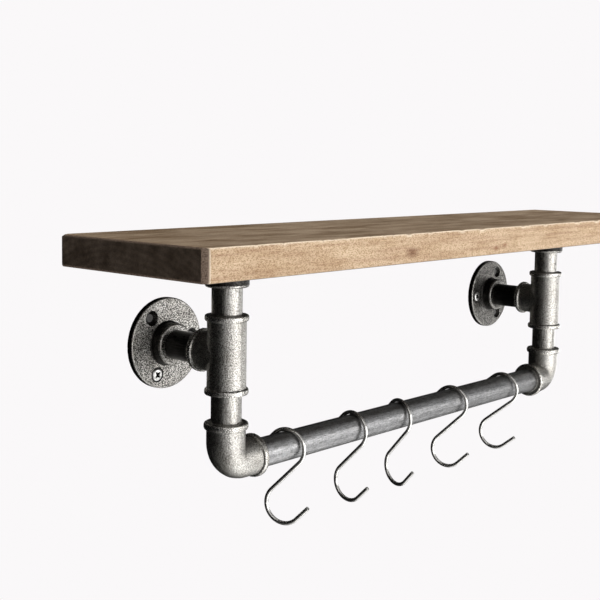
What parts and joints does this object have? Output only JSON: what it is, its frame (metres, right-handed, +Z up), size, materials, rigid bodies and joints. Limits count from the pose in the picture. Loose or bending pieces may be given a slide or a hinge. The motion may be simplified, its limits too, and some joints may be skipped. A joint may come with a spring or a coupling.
{
  "type": "wall shelf",
  "caption": "Wall-mounted shelf of iron pipe: a wooden board on two legs of threaded fittings, with a pipe rail below that carries S-hooks.",
  "frame": {"origin": "on the wall plane, midway between the centres of the two wall flanges, at the height of the tees' centres", "axes": "+X along the rail to the right as seen from the room, +Y into the wall, +Z up"},
  "size_m": [0.608, 0.14, 0.2177],
  "materials": {
    "board": "stained softwood, brushed and waxed",
    "malleable_iron": "raw casting, tumbled and oiled",
    "steel_pipe": "drawn along its length, lacquered",
    "screw_steel": "zinc plated",
    "hook_wire": "polished stainless wire"
  },
  "bodies": {
    "shelf": {"shelf_board": "board", "left_wall_flange": "malleable_iron", "left_tee": "malleable_iron", "left_elbow": "malleable_iron", "left_board_flange": "malleable_iron", "right_wall_flange": "malleable_iron", "right_tee": "malleable_iron", "right_elbow": "malleable_iron", "right_board_flange": "malleable_iron", "left_wall_nipple": "steel_pipe", "left_upper_nipple": "steel_pipe", "left_lower_nipple": "steel_pipe", "right_wall_nipple": "steel_pipe", "right_upper_nipple": "steel_pipe", "right_lower_nipple": "steel_pipe", "rail_pipe": "steel_pipe", "left_board_screws": "screw_steel", "right_board_screws": "screw_steel"},
    "hook_1": {"hook_1": "hook_wire"},
    "hook_2": {"hook_2": "hook_wire"},
    "hook_3": {"hook_3": "hook_wire"},
    "hook_4": {"hook_4": "hook_wire"},
    "hook_5": {"hook_5": "hook_wire"}
  },
  "joints": [
    {"name": "hook_1_swing", "type": "hinge", "parent": "shelf", "child": "hook_1", "pos_m": [-0.1533, -0.0665, -0.0755], "axis": [1, 0, 0], "range_deg": [-60, 45]},
    {"name": "hook_2_swing", "type": "hinge", "parent": "shelf", "child": "hook_2", "pos_m": [-0.0775, -0.0665, -0.0755], "axis": [1, 0, 0], "range_deg": [-60, 45]},
    {"name": "hook_3_swing", "type": "hinge", "parent": "shelf", "child": "hook_3", "pos_m": [-0.0167, -0.0665, -0.0755], "axis": [1, 0, 0], "range_deg": [-60, 45]},
    {"name": "hook_4_swing", "type": "hinge", "parent": "shelf", "child": "hook_4", "pos_m": [0.0587, -0.0665, -0.0755], "axis": [1, 0, 0], "range_deg": [-60, 45]},
    {"name": "hook_5_swing", "type": "hinge", "parent": "shelf", "child": "hook_5", "pos_m": [0.1421, -0.0665, -0.0755], "axis": [1, 0, 0], "range_deg": [-60, 45]}
  ]
}
